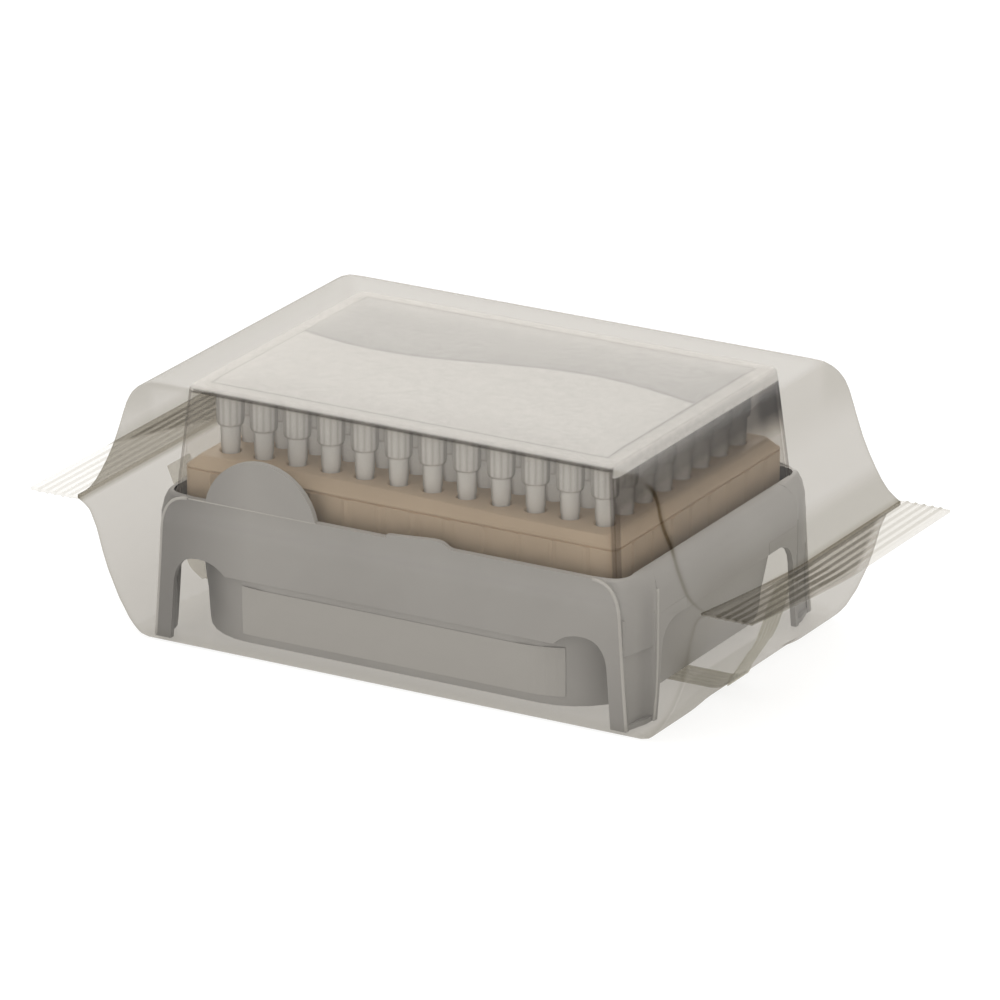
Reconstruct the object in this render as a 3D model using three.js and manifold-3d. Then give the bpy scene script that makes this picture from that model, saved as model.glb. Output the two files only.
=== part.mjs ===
// A 96-place box of pipette tips in its sealed film wrap: a grey base on four corner legs, a tan
// rack, a clear lid, the tips, and the film round them. Millimetres, +Z up, long side along X,
// front along -Y, origin in the middle of the face that the pack stands on. The box is not quite in
// the middle of its wrap.
import * as THREE from 'three';
import { mergeVertices } from 'three/addons/utils/BufferGeometryUtils.js';
import Module from 'manifold-3d';

const wasm = await Module();
wasm.setup();

// ---- driving dimensions -------------------------------------------------------------------------
const PITCH = 9;                 // distance between neighbouring tips, the 96-place standard
const COLUMNS = 12;
const ROW_NAMES = ['A', 'B', 'C', 'D', 'E', 'F', 'G', 'H'];   // A at the back, H at the front
const FUSED_ROWS = ['A', 'B', 'C', 'D'];                      // these are one solid with the rack

const BOX_X = -1.2;              // the box sits this far along X from the middle of the wrap
const FOOT_Z = 0.65;             // underside of the feet, just clear of the film
const CREASE_Z = 18.6;           // where the front and back panels end and the tub shows
const END_CREASE_Z = 20.4;       // the same at the ends
const SIDE_BEND_Z = 31;          // where the ends turn over into the shoulder
const RIM_Z = 36.2;
const BACK_TOP_Z = 34.6;         // the back panel stops a little below the rim
const BASE_WALL = 1.4;
const END_X = 64.5;              // outer face of the end panels and their legs
const FRONT_Y = 44.7;            // outer face of the front and back panels
const CORNER = { x: 61.6, y: 44.4, r: 8 };                    // upright corner above the legs
const MOUTH = { x: 60, y: 43, r: 2.6 };                       // opening that the lid drops into
const LEDGE = { x: 55.6, y: 38.2, r: 3, top: 30.7, thick: 1.5 };
const WEB_TOP_Z = 27;
const WEB_WALL = 0.9;

const LOBE = { x: -33.8, z: 33, r: 15.1 };                    // half-round tab on the front rim
const STEP = { x0: -0.2, x1: 11.9, x2: 18.9, low: 0.7, high: 1.6 };   // small rise in the front rim

const RACK = { x: 57.1, y: 40, r: 1.8, bottom: 31, shoulder: 42.3, top: 44.6, wall: 1.3, plate: 1.5 };
const PLATE_EDGE = { x: 53.6, y: 36.7, r: 1.8, wave: 1.6, span: 120, shift: 12 };
const RIB = { width: 1.6, out: 0.3, z0: 32.5, z1: 42 };
const HOLE_R = 2.5;
const FUSED_HOLE_R = 2.0;        // inside the wall of a tip that is one with the rack

const LID = { x: 59.4, y: 42.4, r: 2.4, bottom: 31, topX: 56.6, topY: 39.7, top: 61.9, wall: 0.8, round: 1.4 };
const LID_PANEL = { x: 51.5, y: 32.6, r: 4, height: 0.4 };
const RIDGE = { middle: 6.75, wave: 4.5, span: 104, shift: -3.5, width: 0.9, gap: 1.9, height: 0.3 };

const TIP = { top: 60.4, ring: 51.3, bottom: 6, collarR: 3.3, sleeveR: 2.45, endR: 0.5, boreR: 2.5, holeR: 0.22 };
const TIP_SIDES = 6;

const FILM = { wall: 0.3, y: 45.6, top: 63.2, bevel: 0.8, tip: 0.75 };
const FIN = { root: 84.3, end: 96.6, y: 46.2, z: 31.5, half: 0.35, crimp: 0.25, crimps: 5, pitch: 2.1 };
const SEAM = { y0: -12.5, y1: -0.7, ply: 0.3, lift: 1.5, flat: 15, foot: 27 };

// ---- finishes -----------------------------------------------------------------------------------
const plastic = (color, roughness) => new THREE.MeshStandardMaterial({ color, roughness, metalness: 0 });
const clear = (color, roughness, opacity) => new THREE.MeshStandardMaterial({
  color, roughness, metalness: 0, transparent: true, opacity,
});
const FINISH = {
  base: () => plastic(0x8b8983, 0.5),
  rack: () => plastic(0xb9966e, 0.5),
  tip: () => plastic(0xc9c6c2, 0.35),
  lid: () => clear(0xdcdad6, 0.15, 0.35),
  film: () => clear(0xd6d2ca, 0.3, 0.25),
};

// ---- helpers ------------------------------------------------------------------------------------
// A closed three.js geometry as a solid that can be cut and joined.
function solid(geometry) {
  geometry.deleteAttribute('normal');
  geometry.deleteAttribute('uv');
  const merged = mergeVertices(geometry, 1e-4);
  return new wasm.Manifold(new wasm.Mesh({
    numProp: 3,
    vertProperties: new Float32Array(merged.attributes.position.array),
    triVerts: new Uint32Array(merged.index.array),
  }));
}

// A solid as a named mesh with its own finish.
function part(name, body, material) {
  const { vertProperties, triVerts } = body.getMesh();
  const geometry = new THREE.BufferGeometry();
  geometry.setAttribute('position', new THREE.BufferAttribute(vertProperties, 3));
  geometry.setIndex(new THREE.BufferAttribute(triVerts, 1));
  geometry.computeVertexNormals();
  const mesh = new THREE.Mesh(geometry, material);
  mesh.name = name;
  return mesh;
}

const joined = (bodies) => bodies.reduce((whole, body) => whole.add(body));

// The same solid seen in a mirror across the middle of axis 0 (X) or axis 1 (Y).
function mirrored(body, axis) {
  const mesh = body.getMesh();
  return new wasm.Manifold(new wasm.Mesh({
    numProp: 3,
    vertProperties: mesh.vertProperties.map((value, i) => (i % 3 === axis ? -value : value)),
    triVerts: mesh.triVerts.map((vertex, i, all) => (i % 3 === 0 ? vertex : all[i % 3 === 1 ? i + 1 : i - 1])),
  }));
}

const bothEnds = (body) => body.add(mirrored(body, 0));
const bothSides = (body) => body.add(mirrored(body, 1));

// Twice the signed area inside a flat ring of points.
const turn = (ring) => ring.reduce((sum, p, i) => {
  const q = ring[(i + 1) % ring.length];
  return sum + p.x * q.y - q.x * p.y;
}, 0);

// A closed skin through rings of 3D points that all have the same count, with flat ends. The rings
// turn anticlockwise when seen from the last one. "flat" drops the axis that the rings follow.
function loft(rings, flat = (p) => new THREE.Vector2(p.x, p.y)) {
  const count = rings[0].length;
  const index = [];
  for (let ring = 0; ring + 1 < rings.length; ring += 1) {
    for (let i = 0; i < count; i += 1) {
      const a = ring * count + i;
      const b = ring * count + (i + 1) % count;
      index.push(a, b, b + count, a, b + count, a + count);
    }
  }
  for (const [ring, flip] of [[0, true], [rings.length - 1, false]]) {
    const outline = rings[ring].map(flat);
    for (const [a, b, c] of THREE.ShapeUtils.triangulateShape(outline, [])) {
      const same = turn([outline[a], outline[b], outline[c]]) * turn(outline) > 0;
      const [second, third] = same === flip ? [c, b] : [b, c];
      index.push(ring * count + a, ring * count + second, ring * count + third);
    }
  }
  const geometry = new THREE.BufferGeometry();
  const positions = rings.flat().flatMap((p) => [p.x, p.y, p.z]);
  geometry.setAttribute('position', new THREE.Float32BufferAttribute(positions, 3));
  geometry.setIndex(index);
  return solid(geometry);
}

// Points round a rectangle with rounded corners, anticlockwise, with extra points on the long sides.
function roundedRect(halfX, halfY, radius, extra = 0, steps = 4) {
  const points = [];
  for (let corner = 0; corner < 4; corner += 1) {
    const signX = corner === 0 || corner === 3 ? 1 : -1;
    const signY = corner < 2 ? 1 : -1;
    for (let step = 0; step <= steps; step += 1) {
      const angle = (corner + step / steps) * Math.PI / 2;
      points.push(new THREE.Vector2(
        signX * (halfX - radius) + radius * Math.cos(angle),
        signY * (halfY - radius) + radius * Math.sin(angle),
      ));
    }
    for (let step = 1; step <= extra && corner % 2 === 0; step += 1) {
      const along = 1 - 2 * step / (extra + 1);
      points.push(new THREE.Vector2(signX * (halfX - radius) * along, signY * halfY));
    }
  }
  return points;
}

const raised = (outline, z) => outline.map((p) => new THREE.Vector3(p.x, p.y, z));

// A stack of rounded rectangles, each { z, x, y, r }, skinned from the lowest to the highest.
const stack = (levels, steps = 4) => loft(levels.map(({ z, x, y, r }) => raised(roundedRect(x, y, r, 0, steps), z)));

// A flat outline pulled up from one height to another.
function pulled(points, z0, z1) {
  const geometry = new THREE.ExtrudeGeometry(new THREE.Shape(points), { depth: z1 - z0, bevelEnabled: false });
  geometry.translate(0, 0, z0);
  return geometry;
}

// Outlines drawn as (x, y) and pulled along Z, as (x, z) along Y, and as (y, z) along X.
const alongZ = (points, z0, z1) => solid(pulled(points, z0, z1));
const alongY = (points, y0, y1) => solid(pulled(points, -y1, -y0).rotateX(Math.PI / 2));
const alongX = (points, x0, x1) => solid(pulled(points, x0, x1).rotateX(Math.PI / 2).rotateZ(Math.PI / 2));

const flat = (pairs) => pairs.map(([x, y]) => new THREE.Vector2(x, y));
const flipped = (points) => points.map((p) => new THREE.Vector2(-p.x, p.y)).reverse();

// Every point of a path moved sideways, to the right of the way that the path runs.
function offset(path, distance) {
  return path.map((p, i) => {
    const before = path[Math.max(i - 1, 0)];
    const after = path[Math.min(i + 1, path.length - 1)];
    const inward = p.clone().sub(i ? before : p).normalize();
    const outward = after.clone().sub(i + 1 < path.length ? p : after).normalize();
    const along = inward.clone().add(outward).normalize();
    const stretch = 1 / Math.max(along.dot(i ? inward : outward), 0.5);
    return new THREE.Vector2(p.x + along.y * distance * stretch, p.y - along.x * distance * stretch);
  });
}

// ---- base ---------------------------------------------------------------------------------------
// The tub between the legs. Its ends lean in more than its long sides. Its corners are wide, and
// wider the higher they go, up to where the upright corners of the rim begin.
function tub(wall) {
  const levels = [
    { z: 2.5, x: 56.6, y: 42.2, r: 18 },
    { z: 4.2, x: 58.2, y: 43.2, r: 22 },
    { z: 10.5, x: 60.5, y: 43.9, r: 27 },
    { z: END_CREASE_Z, x: 64.1, y: 44.3, r: 32 },
    { z: 23, x: 64.3, y: CORNER.y, r: 30 },
    { ...CORNER, z: 24.5, r: 9 },
    { ...CORNER, z: 33.6 },
    { z: RIM_Z, x: CORNER.x - 0.8, y: CORNER.y - 0.5, r: 10 },
  ];
  const last = levels.length - 1;
  return stack(levels.map(({ z, x, y, r }, i) => ({
    z: z + (i < 2 ? wall : 0) + (i === last ? Math.sign(wall) : 0),
    x: x - wall,
    y: y - 0.8 * wall,
    r: r - wall,
  })), 7);
}

// An end wall with its shoulder, skinned from just above the crease up to the rim. The shoulder
// draws in towards the middle of the end as it turns over.
function endBlock(wall) {
  const levels = [
    [23, 64.4, 33.4],
    [SIDE_BEND_Z, END_X, 33.6],
    [33.8 - wall / 3, 63.7, 33.3],
    [35.4 - 2 * wall / 3, 62.5, 32.3],
    [RIM_Z - wall, 61.1, 31],
  ];
  return loft(levels.map(([z, x, y]) => {
    const out = x - wall;
    const side = y - wall;
    return [[out, -side], [out, side], [50, side], [50, -side]].map(([px, py]) => new THREE.Vector3(px, py, z));
  }));
}

// Outer edge of a front or back panel, from the foot up to where the top edge runs flat.
function wing(top) {
  const edge = new THREE.Path();
  edge.moveTo(62.5, FOOT_Z);
  edge.quadraticCurveTo(61.4, 14, 60.6, top - 9);
  edge.quadraticCurveTo(60.1, top, 53.5, top);
  return edge.getPoints(7);
}

// Inner edge of a leg and the arch beside it, from the crease down to the foot.
function arch() {
  const edge = new THREE.Path();
  edge.moveTo(43.5, CREASE_Z);
  edge.quadraticCurveTo(46.5, 21.6, 50.5, 21.6);
  edge.quadraticCurveTo(56.3, 21.8, 57.3, 15.5);
  edge.lineTo(58.4, FOOT_Z);
  return edge.getPoints(6);
}

// Top edge of the front panel from right to left: a small rise near the middle, then the lobe.
function frontTopEdge() {
  const rise = new THREE.Path();
  rise.moveTo(STEP.x2, RIM_Z);
  rise.quadraticCurveTo(16, RIM_Z, 15.3, RIM_Z + STEP.high / 2);
  rise.quadraticCurveTo(14.6, RIM_Z + STEP.high, STEP.x1, RIM_Z + STEP.high);
  rise.lineTo(STEP.x0, RIM_Z + STEP.low);
  rise.lineTo(STEP.x0, RIM_Z);
  const start = Math.asin((RIM_Z - LOBE.z) / LOBE.r);
  const steps = 18;
  const lobe = Array.from({ length: steps + 1 }, (_, step) => {
    const angle = start + (Math.PI - 2 * start) * step / steps;
    return new THREE.Vector2(LOBE.x + LOBE.r * Math.cos(angle), LOBE.z + LOBE.r * Math.sin(angle));
  });
  return [...rise.getPoints(4), ...lobe];
}

// A front or back panel: a band above the crease with a leg at each end.
const longPanel = (top, topEdge) => [
  ...arch(), ...wing(top), ...topEdge, ...flipped(wing(top)), ...flipped(arch()),
];

// The narrow strip of a leg in an end face. Its inner edge arches over into the end wall.
function endLeg() {
  const edge = new THREE.Path();
  edge.moveTo(33.7, FOOT_Z);
  edge.lineTo(35.1, FOOT_Z);
  edge.quadraticCurveTo(33.2, 9, 33.4, 23);
  edge.lineTo(33.4, 26);
  edge.lineTo(20, 26);
  edge.lineTo(20, 23);
  edge.quadraticCurveTo(30.8, 24.4, 31.7, 17);
  edge.quadraticCurveTo(32.1, 11, 33.7, FOOT_Z);
  return alongX(edge.getPoints(6), END_X - BASE_WALL, END_X);
}

// The web between a front leg and an end leg, and the pad at its foot.
function legWeb() {
  const outer = flat([[61.3, 44], [61.5, 41], [61.9, 38.3], [62.5, 36.6], [63.4, 35.3], [64.3, 34.6]]);
  const pad = flat([[60.4, 43.6], [60.8, 40.2], [62.2, 36.4], [64, 34.4], [63.9, 37.6], [62.2, 43.6]]);
  return alongZ([...outer, ...offset(outer, WEB_WALL).reverse()], FOOT_Z, WEB_TOP_Z)
    .add(alongZ(pad, FOOT_Z, FOOT_Z + 1.2));
}

function base() {
  const outside = tub(0).add(bothEnds(endBlock(0)));
  const inside = tub(BASE_WALL).add(bothEnds(endBlock(BASE_WALL)));
  const mouth = stack([{ ...MOUTH, z: SIDE_BEND_Z - 0.3 }, { ...MOUTH, z: RIM_Z + 1 }]);
  const front = alongY(longPanel(RIM_Z, frontTopEdge()), -FRONT_Y, -FRONT_Y + BASE_WALL);
  const back = alongY(longPanel(BACK_TOP_Z, []), FRONT_Y - BASE_WALL, FRONT_Y);
  const legs = bothSides(bothEnds(endLeg().add(legWeb())));
  const opening = stack([{ ...LEDGE, z: 20 }, { ...LEDGE, z: RIM_Z + 1 }]);
  const slab = stack([
    { x: END_X, y: FRONT_Y, r: 1, z: LEDGE.top - LEDGE.thick },
    { x: END_X, y: FRONT_Y, r: 1, z: LEDGE.top },
  ]);
  const ledge = slab.intersect(outside).subtract(opening);
  return joined([outside.subtract(inside), front, back, legs]).subtract(mouth).add(ledge);
}

// ---- tips ---------------------------------------------------------------------------------------
// A tip is one closed profile turned about its own axis, open right through.
function tip(x, y) {
  const profile = [
    [TIP.endR, TIP.bottom],
    [TIP.sleeveR, TIP.ring],
    [TIP.collarR, TIP.ring],
    [TIP.collarR, TIP.top],
    [TIP.boreR, TIP.top],
    [TIP.holeR, TIP.bottom],
    [TIP.endR, TIP.bottom],
  ];
  const geometry = new THREE.LatheGeometry(flat(profile), TIP_SIDES);
  geometry.rotateX(Math.PI / 2);
  geometry.translate(x, y, 0);
  return solid(geometry);
}

// A round hole through the rack plate, with its sides turned like those of a tip.
function hole(x, y, radius) {
  const geometry = new THREE.CylinderGeometry(radius, radius, 6, TIP_SIDES);
  geometry.rotateX(Math.PI / 2);
  geometry.translate(x, y, RACK.top);
  return solid(geometry);
}

const columnX = (column) => (column - (COLUMNS - 1) / 2) * PITCH;
const rowY = (row) => ((ROW_NAMES.length - 1) / 2 - row) * PITCH;
const places = ROW_NAMES.flatMap((name, row) => Array.from({ length: COLUMNS }, (_, column) => ({
  name: `tip_${name}${String(column + 1).padStart(2, '0')}`,
  x: columnX(column),
  y: rowY(row),
  fused: FUSED_ROWS.includes(name),
})));

// ---- rack ---------------------------------------------------------------------------------------
// Edge of the drilled plate. Its long sides run in a slow wave.
function plateEdge(inset, z) {
  const outline = roundedRect(PLATE_EDGE.x - inset, PLATE_EDGE.y - inset, PLATE_EDGE.r, 9);
  return outline.map((p) => {
    const wave = PLATE_EDGE.wave * Math.sin(2 * Math.PI * (p.x - PLATE_EDGE.shift) / PLATE_EDGE.span);
    return new THREE.Vector3(p.x, p.y + Math.sign(p.y) * wave, z);
  });
}

function rackBlock(wall, plate) {
  const skirt = (z) => raised(roundedRect(RACK.x - wall, RACK.y - wall, RACK.r - wall / 2, 9), z);
  return loft([skirt(RACK.bottom - wall), skirt(RACK.shoulder - plate), plateEdge(wall, RACK.top - plate)]);
}

// Upright ribs round the outside of the skirt, one for each column and each row.
function ribs() {
  const halfWidth = RIB.width / 2;
  const bars = [];
  for (let column = 0; column < COLUMNS; column += 1) {
    const x = columnX(column);
    const ends = RACK.y + RIB.out;
    bars.push(flat([[x - halfWidth, -ends], [x + halfWidth, -ends], [x + halfWidth, ends], [x - halfWidth, ends]]));
  }
  for (let row = 0; row < ROW_NAMES.length; row += 1) {
    const y = rowY(row);
    const ends = RACK.x + RIB.out;
    bars.push(flat([[-ends, y - halfWidth], [ends, y - halfWidth], [ends, y + halfWidth], [-ends, y + halfWidth]]));
  }
  return joined(bars.map((bar) => alongZ(bar, RIB.z0, RIB.z1)));
}

function rack() {
  const hollow = rackBlock(RACK.wall, RACK.plate);
  const cuts = joined(places.map(({ x, y, fused }) => hole(x, y, fused ? FUSED_HOLE_R : HOLE_R)));
  const body = rackBlock(0, 0).add(ribs()).subtract(hollow).subtract(cuts);
  return joined([body, ...places.filter(({ fused }) => fused).map(({ x, y }) => tip(x, y))]);
}

// ---- lid ----------------------------------------------------------------------------------------
function lidBlock(wall) {
  const edge = LID.top - LID.round;
  return stack([
    { z: LID.bottom - wall, x: LID.x - wall, y: LID.y - wall, r: LID.r - wall },
    { z: edge - wall, x: LID.topX - wall, y: LID.topY - wall, r: LID.r - wall },
    { z: LID.top - 0.4 - wall, x: LID.topX - 0.4 - wall, y: LID.topY - 0.4 - wall, r: LID.r - 0.4 - wall },
    { z: LID.top - wall, x: LID.topX - 1.4 - wall, y: LID.topY - 1.4 - wall, r: LID.r - 1.4 - wall },
  ]);
}

// One of the two wave-shaped ridges across the raised panel.
function ridge(shift) {
  const steps = 20;
  const edge = (side) => Array.from({ length: steps + 1 }, (_, step) => {
    const x = (2 * step / steps - 1) * (LID_PANEL.x - 1.5);
    const wave = RIDGE.wave * Math.sin(2 * Math.PI * (x - RIDGE.shift) / RIDGE.span);
    return new THREE.Vector2(x, RIDGE.middle + shift + wave + side * RIDGE.width / 2);
  });
  const top = LID.top + LID_PANEL.height;
  return alongZ([...edge(-1), ...edge(1).reverse()], top - 0.2, top + RIDGE.height);
}

function lid() {
  const panel = stack([
    { ...LID_PANEL, z: LID.top - 0.2 },
    { x: LID_PANEL.x - 0.4, y: LID_PANEL.y - 0.4, r: LID_PANEL.r, z: LID.top + LID_PANEL.height },
  ]);
  return joined([lidBlock(0).subtract(lidBlock(LID.wall)), panel, ridge(-RIDGE.gap / 2), ridge(RIDGE.gap / 2)]);
}

// ---- film wrap ----------------------------------------------------------------------------------
// Right half of the film from above the box, over the end, to below it, drawn as (x, z).
const filmTop = () => flat([
  [60, FILM.top], [64, 63.0], [67.6, 61.4], [70.4, 57.6], [72.3, 52], [74.2, 46.4], [77.7, 39.2], [80.6, 34.6],
]);
const filmBottom = (lift) => flat([
  [80.6, 28.6], [77.6, 18.5], [74.8, 11.6], [72, 6.2], [69.2, 2.1], [67.5, 0.5 + lift / 2], [65.4, lift],
]);
const filmEnd = (lift) => [
  ...filmTop(),
  new THREE.Vector2(FIN.root, FIN.z + FILM.tip),
  new THREE.Vector2(FIN.root, FIN.z - FILM.tip),
  ...filmBottom(lift),
];

// One slice of the wrap across the box at depth y.
function filmSlice(y, inset, lift) {
  const half = offset(filmEnd(lift), inset);
  return [...half, ...flipped(half)].map((p) => new THREE.Vector3(p.x, y, p.y));
}

function filmBlock(wall) {
  const slices = [
    [FILM.y, FILM.bevel, 0],
    [FILM.y - FILM.bevel, 0, 0],
    [SEAM.foot, 0, 0],
    [SEAM.flat, 0, SEAM.lift],
  ];
  const mirroredSlices = slices.map(([y, inset, lift]) => [-y, inset, lift]);
  const order = [...mirroredSlices, ...slices.reverse()];
  return loft(
    order.map(([y, inset, lift]) => filmSlice(y - Math.sign(y) * wall, inset + wall, lift)),
    (p) => new THREE.Vector2(p.z, p.x),
  );
}

// A crimped end seal: a flat strip with shallow ridges across it on both faces.
function fin() {
  const ridges = Array.from({ length: FIN.crimps }, (_, i) => FIN.root + 1.6 + i * FIN.pitch);
  const edge = [
    [FIN.root - 1.2, FIN.half],
    ...ridges.flatMap((x) => [
      [x, FIN.half], [x + 0.35, FIN.half + FIN.crimp], [x + 0.85, FIN.half + FIN.crimp], [x + 1.2, FIN.half],
    ]),
    [FIN.end, FIN.half],
  ];
  const upper = edge.map(([x, h]) => [x, FIN.z + h]);
  const lower = edge.map(([x, h]) => [x, FIN.z - h]).reverse();
  const pad = [[FIN.root - 0.2, FIN.z], [FIN.end, FIN.z], [FIN.end, FIN.z - 1], [FIN.root - 0.2, FIN.z - 1]];
  return alongY(flat([...upper, ...lower]), -FIN.y, FIN.y).add(alongY(flat(pad), SEAM.y0, SEAM.y1));
}

// A strip that follows the underside of the wrap from end to end, between two depths outside it.
function underStrip(near, far, y0, y1) {
  const half = filmBottom(SEAM.lift);
  const path = [...half, ...flipped(half)];
  return alongY([...offset(path, -near), ...offset(path, -far).reverse()], y0, y1);
}

// The long seam: two plies that leave the wrap at a slit and lie flat under it, one over the other.
function filmWrap() {
  const { ply, y0, y1 } = SEAM;
  const shell = filmBlock(0).subtract(filmBlock(FILM.wall));
  const slit = underStrip(-0.6, 0.3, y1 - 2 * ply, y1 - ply);
  const inner = [underStrip(ply, 2 * ply, y0, y1 - 2 * ply), underStrip(-0.1, 2 * ply, y1 - 3 * ply, y1 - 2 * ply)];
  const outer = [underStrip(3 * ply, 4 * ply, y0, y1), underStrip(-0.1, 4 * ply, y1 - ply, y1)];
  return joined([shell.subtract(slit), ...inner, ...outer, bothEnds(fin())]);
}

// ---- the whole pack -----------------------------------------------------------------------------
const pack = new THREE.Group();
pack.name = 'tip_box';
pack.add(part('film_wrap', filmWrap(), FINISH.film()));

const box = new THREE.Group();
box.position.x = BOX_X;
box.add(part('base', base(), FINISH.base()));
box.add(part('rack', rack(), FINISH.rack()));
box.add(part('lid', lid(), FINISH.lid()));
for (const { name, x, y, fused } of places) {
  if (!fused) {
    box.add(part(name, tip(x, y), FINISH.tip()));
  }
}
pack.add(box);

export default pack;
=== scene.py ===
# %% [markdown]
# # A wrapped box of pipette tips
# The real thing is a grey moulded base on corner legs, a tan rack, 96 small clear tips, a clear lid,
# and a sheet of packing film wrapped round all of it and crimped at both ends. The solids come first,
# loaded as a fixed frame, and every surface below is placed from them.

# %% load the frame
import math
import bmesh
import bpy
import numpy as np
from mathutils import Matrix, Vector


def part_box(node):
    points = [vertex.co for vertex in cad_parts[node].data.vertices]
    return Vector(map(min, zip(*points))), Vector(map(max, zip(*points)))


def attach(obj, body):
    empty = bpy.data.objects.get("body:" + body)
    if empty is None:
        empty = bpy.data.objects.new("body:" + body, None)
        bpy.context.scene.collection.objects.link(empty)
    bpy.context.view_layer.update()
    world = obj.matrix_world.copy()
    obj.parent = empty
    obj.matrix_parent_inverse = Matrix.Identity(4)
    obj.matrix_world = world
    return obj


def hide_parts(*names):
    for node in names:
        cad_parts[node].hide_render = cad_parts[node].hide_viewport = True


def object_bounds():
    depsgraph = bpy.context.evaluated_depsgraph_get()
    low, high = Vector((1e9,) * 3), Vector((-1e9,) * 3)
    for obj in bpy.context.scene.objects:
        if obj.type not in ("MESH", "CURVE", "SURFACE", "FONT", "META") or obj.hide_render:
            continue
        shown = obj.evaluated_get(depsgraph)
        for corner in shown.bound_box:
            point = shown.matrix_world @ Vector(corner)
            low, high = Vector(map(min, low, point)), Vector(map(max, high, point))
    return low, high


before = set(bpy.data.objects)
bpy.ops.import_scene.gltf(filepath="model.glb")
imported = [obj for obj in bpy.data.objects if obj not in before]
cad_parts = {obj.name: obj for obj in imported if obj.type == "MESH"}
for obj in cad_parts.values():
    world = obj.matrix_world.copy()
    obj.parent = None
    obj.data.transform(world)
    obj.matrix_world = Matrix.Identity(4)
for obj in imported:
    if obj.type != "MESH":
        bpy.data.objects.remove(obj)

solids_box = [list(map(float, corner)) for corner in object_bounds()]
print("solids reach from", solids_box[0], "to", solids_box[1])
lid_low, lid_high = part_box("lid")
box_x = 500.0 * (lid_low[0] + lid_high[0])
print(f"the box sits {box_x:.2f} mm along X inside its wrap")

# %% [markdown]
# The camera looks at the pack from its right front, well above the bench, with a long lens, so that
# the far edges stay almost parallel to the near ones. It is aimed at the middle of the box.

# %% camera
azimuth, elevation, distance = math.radians(29.70), math.radians(20.04), 2.032
aim = Vector((0.00014, 0.00458, 0.030))
away = Vector((math.sin(azimuth) * math.cos(elevation), -math.cos(azimuth) * math.cos(elevation),
               math.sin(elevation)))
camera_data = bpy.data.cameras.new("camera")
camera_data.lens, camera_data.sensor_width = 314.4, 36.0
camera_data.clip_start, camera_data.clip_end = 0.05, 50.0
camera_data.shift_x = 0.001
camera = bpy.data.objects.new("camera", camera_data)
camera.location = aim + distance * away
camera.rotation_euler = away.to_track_quat("Z", "Y").to_euler()
bpy.context.collection.objects.link(camera)
bpy.context.scene.camera = camera
print("camera at", [round(c, 3) for c in camera.location])

# %% [markdown]
# A wide pale floor stands in for the studio table. It is one flat sheet. The pack stands on it. The
# table is a light table: it glows a little by itself, which keeps the shadows under the legs pale.

# %% floor
def plain_material(name, colour, roughness=0.6, specular=0.3):
    """A material with one Principled node, returned with that node for further wiring."""
    material = bpy.data.materials.new(name)
    material.use_nodes = True
    shader = material.node_tree.nodes["Principled BSDF"]
    shader.inputs["Base Color"].default_value = (*colour, 1.0)
    shader.inputs["Roughness"].default_value = roughness
    shader.inputs["Specular IOR Level"].default_value = specular
    return material, shader


floor_mesh = bpy.data.meshes.new("floor")
half = 12.0
floor_z = solids_box[0][2] - 0.0002
floor_mesh.from_pydata([(-half, -half, floor_z), (half, -half, floor_z), (half, half, floor_z),
                        (-half, half, floor_z)], [], [(0, 1, 2, 3)])
floor = bpy.data.objects.new("floor", floor_mesh)
bpy.context.collection.objects.link(floor)
floor_finish, floor_shader = plain_material("studio_floor", (0.26, 0.26, 0.258), 0.9, 0.05)
floor_shader.inputs["Emission Color"].default_value = (1.0, 1.0, 0.995, 1.0)
floor_shader.inputs["Emission Strength"].default_value = 0.80
floor_mesh.materials.append(floor_finish)
print("floor at height", round(floor_z, 5))

# %% [markdown]
# Studio light is soft and comes from everywhere: a pale world, a large panel overhead, and a weaker
# one from the front left, which gives the rounded edges and the film a little modelling.

# %% lights
world = bpy.data.worlds.new("studio")
world.use_nodes = True
world.node_tree.nodes["Background"].inputs["Color"].default_value = (1.0, 1.0, 1.0, 1.0)
world.node_tree.nodes["Background"].inputs["Strength"].default_value = 0.9
bpy.context.scene.world = world
bpy.context.scene.view_settings.view_transform = "Standard"


def light_panel(name, place, power, size):
    """A square area light of the given size, turned to face the middle of the pack."""
    data = bpy.data.lights.new(name, "AREA")
    data.energy, data.size = power, size
    lamp = bpy.data.objects.new(name, data)
    lamp.location = place
    lamp.rotation_euler = (Vector(place) - aim).to_track_quat("Z", "Y").to_euler()
    bpy.context.collection.objects.link(lamp)
    return lamp


light_panel("overhead", (0.1, 0.1, 2.2), 32.0, 2.4)
light_panel("front_left", (-1.3, -2.1, 1.2), 6.0, 1.4)
sheen = light_panel("sheen", (-1.15, 2.04, 0.9), 30.0, 1.6)
sheen.visible_diffuse = False

# %% [markdown]
# Most pieces below are a grid of points: one parameter runs round the piece and the other runs along
# it. One helper turns such a grid into a mesh, closes its seam and its ends, and smooths it.

# %% grid to mesh
def faces_of_grid(rows, columns, wrap):
    """Quads between neighbouring rows; with wrap the last column joins the first."""
    across = columns if wrap else columns - 1
    row, column = np.meshgrid(np.arange(rows - 1), np.arange(across), indexing="ij")
    after = (column + 1) % columns
    quads = np.stack([row * columns + column, row * columns + after,
                      (row + 1) * columns + after, (row + 1) * columns + column], axis=-1)
    return quads.reshape(-1, 4)


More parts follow.
